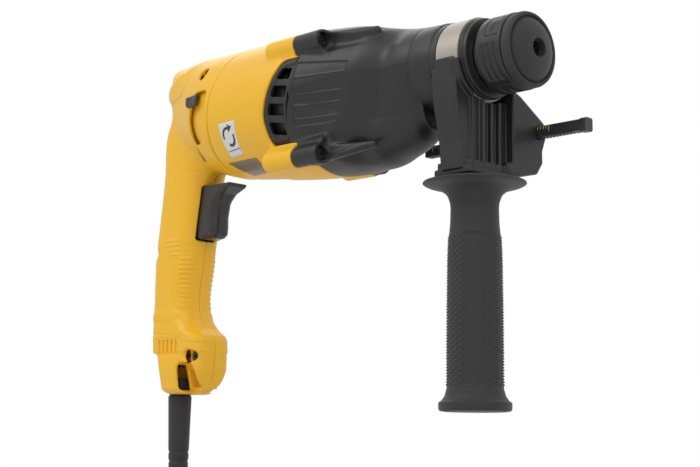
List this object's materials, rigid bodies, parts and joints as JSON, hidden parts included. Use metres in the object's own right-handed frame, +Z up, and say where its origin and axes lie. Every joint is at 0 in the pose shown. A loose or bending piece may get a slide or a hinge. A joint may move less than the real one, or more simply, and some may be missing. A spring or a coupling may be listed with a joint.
{
  "type": "rotary hammer",
  "caption": "Corded pistol-grip rotary hammer with an SDS-plus chuck, side handle and depth rod, and its gear, wobble and striking parts inside",
  "frame": {"origin": "middle of the main grip, between its front and back, on the plane where the two handle shells meet", "axes": "+X forward along the spindle to the tool, +Y to the user's left, +Z up with the tool held level"},
  "size_m": [0.3296, 0.1332, 0.379],
  "materials": {
    "yellow_plastic": "moulded glass-filled nylon, satin",
    "black_plastic": "moulded glass-filled nylon, satin black",
    "grey_plastic": "moulded plastic, dark grey",
    "black_rubber": "matt rubber",
    "gear_steel": "hardened and ground",
    "screw_steel": "black oxide",
    "strap_steel": "warm grey zinc finish",
    "spring_steel": "spring wire",
    "laminations": "stacked electrical steel",
    "copper": "enamelled copper wire",
    "brass": "pressed brass",
    "alloy": "die-cast",
    "carbon": "graphite",
    "plated_pins": "nickel plated"
  },
  "bodies": {
    "tool": {"cord_clamp": "grey_plastic", "cord_coil": "black_rubber", "cord_guard": "black_rubber", "cord_tube": "black_rubber", "field_windings": "copper", "front_armature_bearing": "gear_steel", "front_shaft_bearing": "gear_steel", "gear_housing": "black_plastic", "gear_housing_screws": "screw_steel", "handle_shell_left": "yellow_plastic", "handle_shell_right": "yellow_plastic", "inner_housing": "alloy", "motor_housing": "yellow_plastic", "nose_collar": "black_plastic", "plug_body": "black_plastic", "plug_pins": "plated_pins", "rear_armature_bearing": "gear_steel", "rear_shaft_bearing": "gear_steel", "shell_screws": "screw_steel", "spindle_bearing": "gear_steel", "spindle_seal": "black_rubber", "stator_core": "laminations", "trigger_spring": "spring_steel", "trigger_switch": "black_plastic", "vent_baffle": "black_plastic"},
    "trigger": {"trigger": "black_plastic"},
    "brush_ring": {"brush_ring": "grey_plastic", "brush_holders": "brass", "carbon_brushes": "carbon", "brush_springs": "spring_steel"},
    "armature": {"armature_shaft": "gear_steel", "armature_core": "laminations", "armature_windings": "copper", "commutator": "copper", "fan": "grey_plastic"},
    "intermediate_shaft": {"intermediate_shaft": "gear_steel", "large_gear": "gear_steel", "wobble_hub": "gear_steel", "wobble_balls": "gear_steel"},
    "wobble_ring": {"wobble_ring": "gear_steel"},
    "piston": {"piston": "alloy"},
    "trunnion": {"trunnion": "gear_steel"},
    "striker": {"striker": "gear_steel"},
    "beat_piece": {"beat_piece": "gear_steel"},
    "spindle": {"spindle": "gear_steel", "spindle_gear": "gear_steel", "clutch_spring": "spring_steel", "locking_balls": "gear_steel", "nose_cap": "black_rubber", "sleeve_spring": "spring_steel"},
    "lock_sleeve": {"lock_sleeve": "black_plastic"},
    "mode_knob": {"mode_knob": "black_plastic"},
    "lock_button": {"lock_button": "grey_plastic"},
    "side_handle": {"bracket": "black_plastic", "strap_band": "strap_steel"},
    "side_grip": {"side_grip": "black_rubber", "clamp_bolt": "screw_steel"},
    "depth_rod": {"depth_rod": "black_plastic"},
    "rod_button": {"rod_button": "grey_plastic"}
  },
  "joints": [
    {"name": "trigger_pull", "type": "slide", "parent": "tool", "child": "trigger", "axis": [-1, 0, 0], "range_m": [0, 0.006], "stiffness_N_per_m": 900, "deforming": ["trigger_spring"]},
    {"name": "reversing_turn", "type": "hinge", "parent": "tool", "child": "brush_ring", "pos_m": [0.0762, 0, 0.065], "axis": [1, 0, 0], "range_deg": [0, 29]},
    {"name": "armature_spin", "type": "hinge", "parent": "tool", "child": "armature", "pos_m": [0.1, 0, 0.065], "axis": [1, 0, 0], "continuous": true},
    {"name": "intermediate_spin", "type": "hinge", "parent": "tool", "child": "intermediate_shaft", "pos_m": [0.18, 0, 0.0405], "axis": [1, 0, 0], "continuous": true},
    {"name": "spindle_spin", "type": "hinge", "parent": "tool", "child": "spindle", "pos_m": [0.25, 0, 0.07], "axis": [1, 0, 0], "continuous": true},
    {"name": "wobble_tilt", "type": "hinge", "parent": "tool", "child": "wobble_ring", "pos_m": [0.1785, 0, 0.0405], "axis": [0, 1, 0], "range_deg": [-14, 14]},
    {"name": "piston_slide", "type": "slide", "parent": "tool", "child": "piston", "axis": [1, 0, 0], "range_m": [-0.0074, 0.0074]},
    {"name": "trunnion_turn", "type": "hinge", "parent": "piston", "child": "trunnion", "pos_m": [0.1785, 0, 0.07], "axis": [0, 1, 0], "range_deg": [-14.1, 14.1]},
    {"name": "striker_slide", "type": "slide", "parent": "tool", "child": "striker", "axis": [1, 0, 0], "range_m": [-0.003, 0.0072]},
    {"name": "beat_piece_slide", "type": "slide", "parent": "tool", "child": "beat_piece", "axis": [1, 0, 0], "range_m": [0, 0.0039]},
    {"name": "sleeve_pull", "type": "slide", "parent": "spindle", "child": "lock_sleeve", "axis": [-1, 0, 0], "range_m": [0, 0.0045], "stiffness_N_per_m": 1800, "deforming": ["sleeve_spring"]},
    {"name": "mode_turn", "type": "hinge", "parent": "tool", "child": "mode_knob", "pos_m": [0.168, 0.045, 0.058], "axis": [0, 1, 0], "range_deg": [-60, 60]},
    {"name": "lock_button_press", "type": "slide", "parent": "mode_knob", "child": "lock_button", "axis": [0, -1, 0], "range_m": [0, 0.0022], "stiffness_N_per_m": 600},
    {"name": "side_handle_swing", "type": "hinge", "parent": "tool", "child": "side_handle", "pos_m": [0.263, 0, 0.07], "axis": [1, 0, 0], "range_deg": [-20, 250]},
    {"name": "grip_turn", "type": "hinge", "parent": "side_handle", "child": "side_grip", "pos_m": [0.263, 0, -0.06], "axis": [0, 0, 1], "range_deg": [-360, 0]},
    {"name": "depth_rod_slide", "type": "slide", "parent": "side_handle", "child": "depth_rod", "axis": [1, 0, 0], "range_m": [0, 0.06]},
    {"name": "rod_button_press", "type": "slide", "parent": "side_handle", "child": "rod_button", "axis": [0, -1, 0], "range_m": [0, 0.002], "stiffness_N_per_m": 600}
  ],
  "couplings": [
    {"joint": "intermediate_spin", "follows": "armature_spin", "ratio": -0.19512},
    {"joint": "spindle_spin", "follows": "armature_spin", "ratio": 0.049818},
    {"joint": "piston_slide", "follows": "wobble_tilt", "m_per_rad": 0.0301},
    {"joint": "trunnion_turn", "follows": "wobble_tilt", "ratio": 1}
  ]
}
